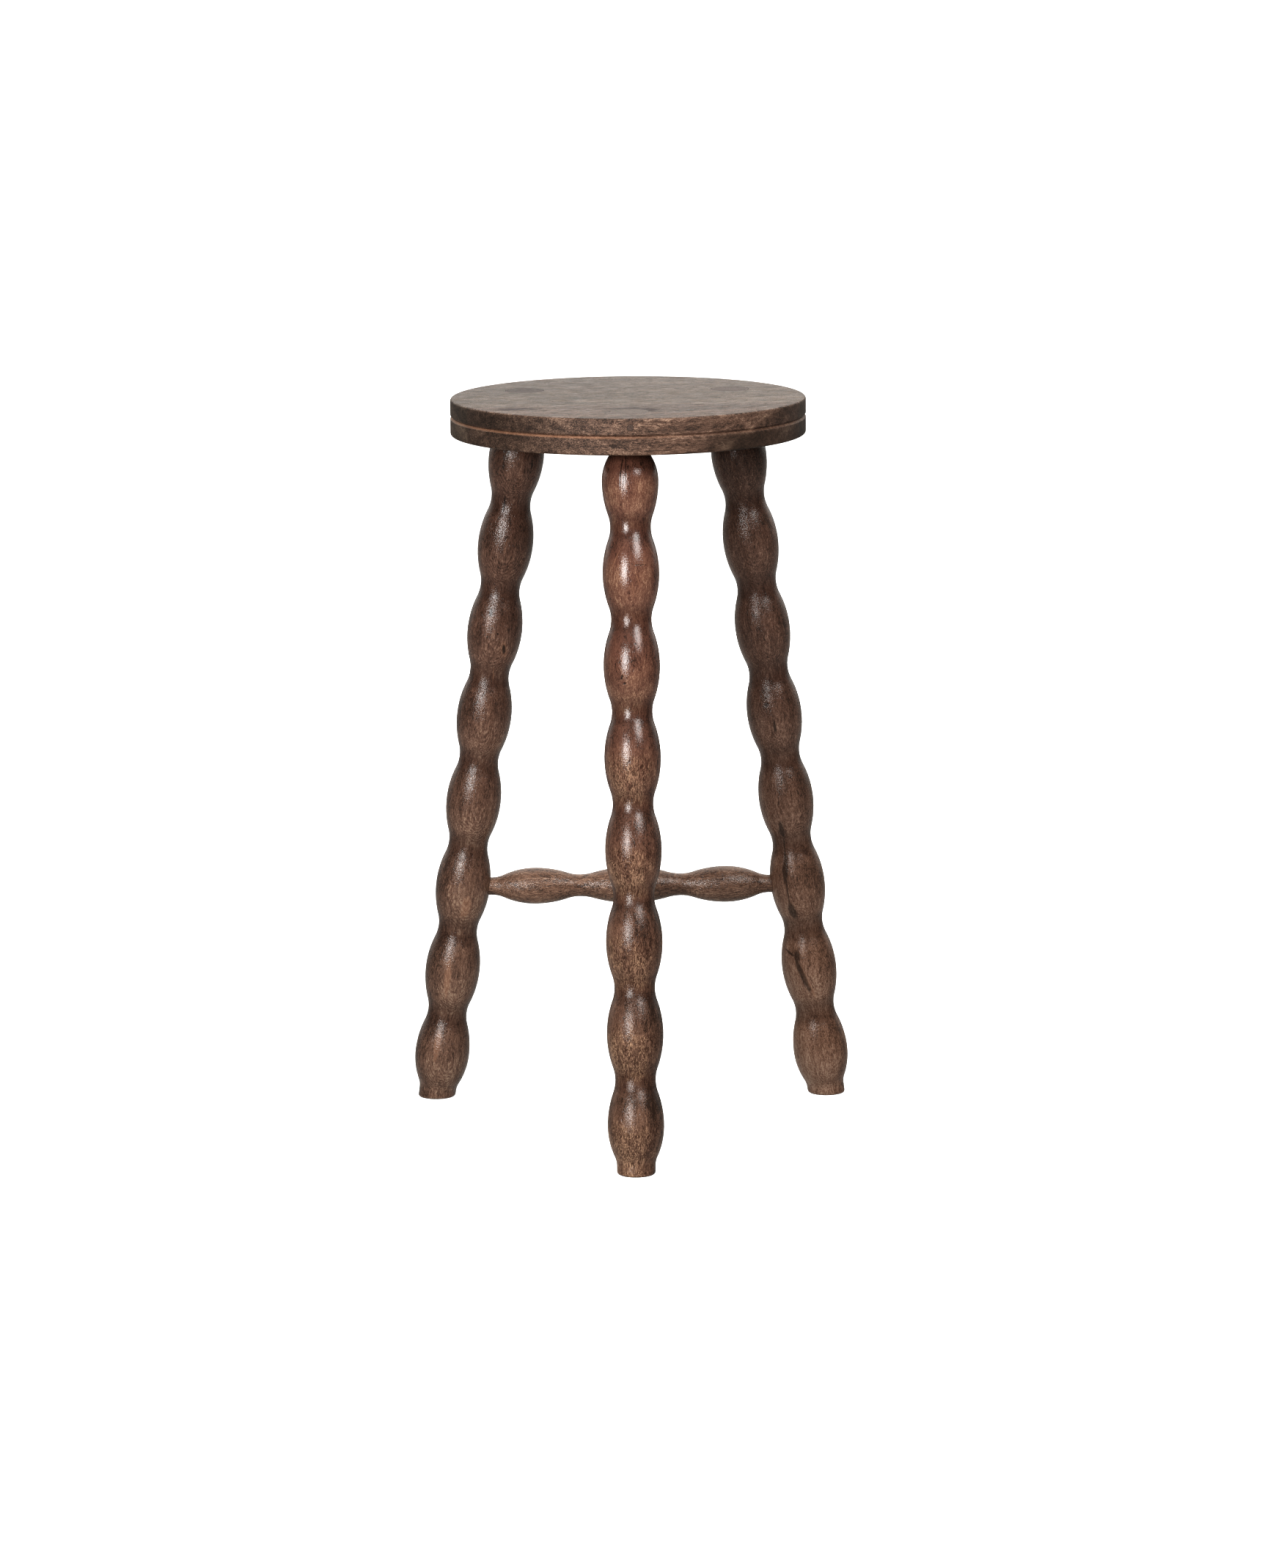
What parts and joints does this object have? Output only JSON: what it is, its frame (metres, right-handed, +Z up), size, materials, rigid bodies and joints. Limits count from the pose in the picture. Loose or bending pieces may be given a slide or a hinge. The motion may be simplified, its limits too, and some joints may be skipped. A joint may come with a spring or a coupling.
{
  "type": "milking stool",
  "caption": "Tall wooden stool with a round grooved seat on splayed bobbin-turned legs, tied by turned rails; for sitting on or as a small side table.",
  "frame": {"origin": "on the floor, straight under the middle of the seat", "axes": "+Z up, -Y towards the front leg, +X to the right seen from the front"},
  "size_m": [0.3022, 0.2916, 0.5],
  "materials": {
    "seat_wood": "dark brown stain, matt on the top, satin on the rim",
    "turned_wood": "dark brown stain under satin lacquer",
    "peg_wood": "dark brown stain, end grain"
  },
  "bodies": {
    "root": {"seat_board_front": "seat_wood", "seat_board_middle": "seat_wood", "seat_board_rear": "seat_wood", "leg_front": "turned_wood", "leg_left": "turned_wood", "leg_right": "turned_wood", "rail_rear": "turned_wood", "rail_front": "turned_wood", "peg_front": "peg_wood", "peg_left": "peg_wood", "peg_right": "peg_wood"}
  },
  "joints": []
}
